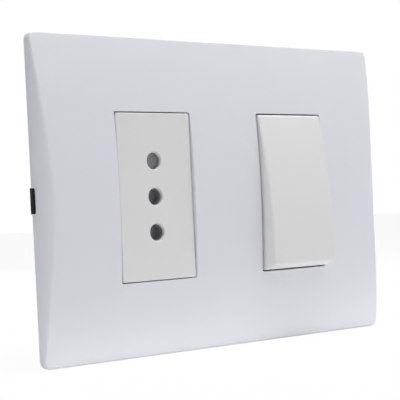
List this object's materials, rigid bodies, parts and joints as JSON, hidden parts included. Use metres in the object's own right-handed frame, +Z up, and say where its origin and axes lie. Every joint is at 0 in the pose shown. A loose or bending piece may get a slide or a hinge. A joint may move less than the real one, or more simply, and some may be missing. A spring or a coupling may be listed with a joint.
{
  "type": "switch and socket combination",
  "caption": "Flush wall plate with a column socket for round pins on the left, an empty middle position and a rocker light switch on the right.",
  "frame": {"origin": "middle of the cover plate's rim in the plane of the wall, midway between the two box screws", "axes": "+X to the right as seen from the room, +Y into the wall, +Z up"},
  "size_m": [0.1208, 0.0355, 0.085],
  "materials": {
    "plate_white": "fine satin, slightly cool white",
    "module_white": "fine satin, neutral white",
    "frame_black": "matt black",
    "housing_grey": "matt dark grey",
    "brass": "rolled brass",
    "copper": "rolled copper alloy",
    "silver": "silver contact metal",
    "steel": "zinc plated"
  },
  "bodies": {
    "base": {"cover_plate": "plate_white", "support_frame": "frame_black", "box_screw_left": "steel", "box_screw_right": "steel", "socket_cover": "module_white", "socket_housing": "housing_grey", "line_contact": "brass", "earth_contact": "brass", "neutral_contact": "brass", "line_terminal_saddle": "steel", "earth_terminal_saddle": "steel", "neutral_terminal_saddle": "steel", "line_terminal_screw": "steel", "earth_terminal_screw": "steel", "neutral_terminal_screw": "steel", "switch_housing": "housing_grey", "fixed_rivet": "silver", "common_terminal": "brass", "fixed_terminal": "brass", "common_terminal_saddle": "steel", "fixed_terminal_saddle": "steel", "common_terminal_screw": "steel", "fixed_terminal_screw": "steel"},
    "rocker": {"rocker_key": "module_white", "plunger_spring": "steel"},
    "plunger": {"plunger": "steel"},
    "blade": {"contact_blade": "copper", "moving_rivet": "silver"}
  },
  "joints": [
    {"name": "rocker_tilt", "type": "hinge", "parent": "base", "child": "rocker", "pos_m": [0.0245, -0.00125, 0], "axis": [1, 0, 0], "range_deg": [0, 12.6]},
    {"name": "plunger_slide", "type": "slide", "parent": "rocker", "child": "plunger", "axis": [0, -0.994, 0.1097], "range_m": [0, 0.0008], "stiffness_N_per_m": 200, "springref_m": -0.003, "deforming": ["plunger_spring"]},
    {"name": "blade_rock", "type": "hinge", "parent": "base", "child": "blade", "pos_m": [0.0245, 0.00999, 0], "axis": [1, 0, 0], "range_deg": [-18, 0]}
  ],
  "couplings": [
    {"joint": "blade_rock", "follows": "rocker_tilt", "ratio": -1.4286}
  ]
}
